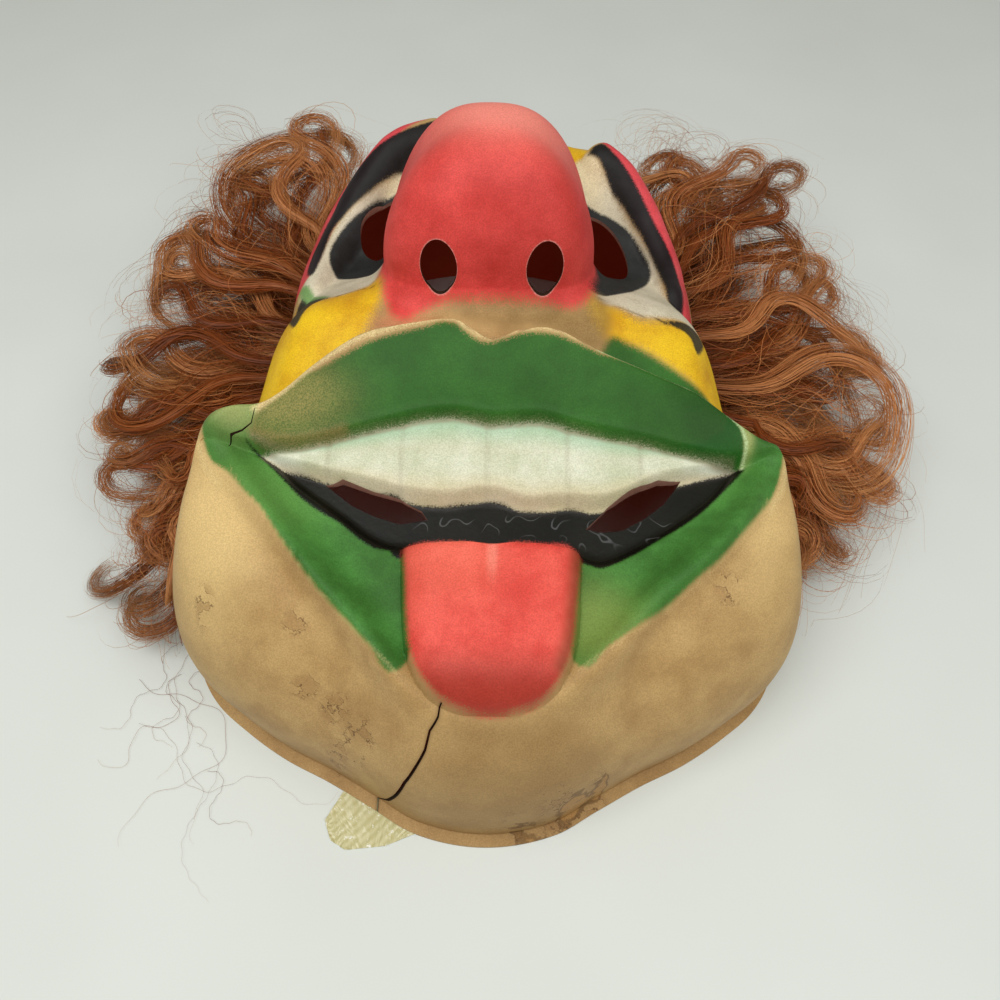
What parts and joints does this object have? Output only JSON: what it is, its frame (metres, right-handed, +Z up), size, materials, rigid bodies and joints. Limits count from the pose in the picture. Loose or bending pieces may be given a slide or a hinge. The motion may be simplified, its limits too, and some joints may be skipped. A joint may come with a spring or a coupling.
{
  "type": "clown mask",
  "caption": "Hollow moulded clown face mask with a big nose, open mouth and tongue, and a tuft of curly hair on each side.",
  "frame": {"origin": "middle of the whole part's outline seen from above, on the plane the rim lies on", "axes": "+Z up from the rim plane towards the nose, +Y from chin to forehead, +X towards the viewer's right"},
  "size_m": [0.357, 0.3644, 0.1431],
  "materials": {
    "shell": "satin moulded plastic, painted outside, raw red-brown inside",
    "hair": "curly copper-brown synthetic hair",
    "tape": "yellowed clear adhesive tape"
  },
  "bodies": {
    "root": {"mask_shell": "shell", "hair_left": "hair", "hair_right": "hair", "repair_tape": "tape"}
  },
  "joints": []
}
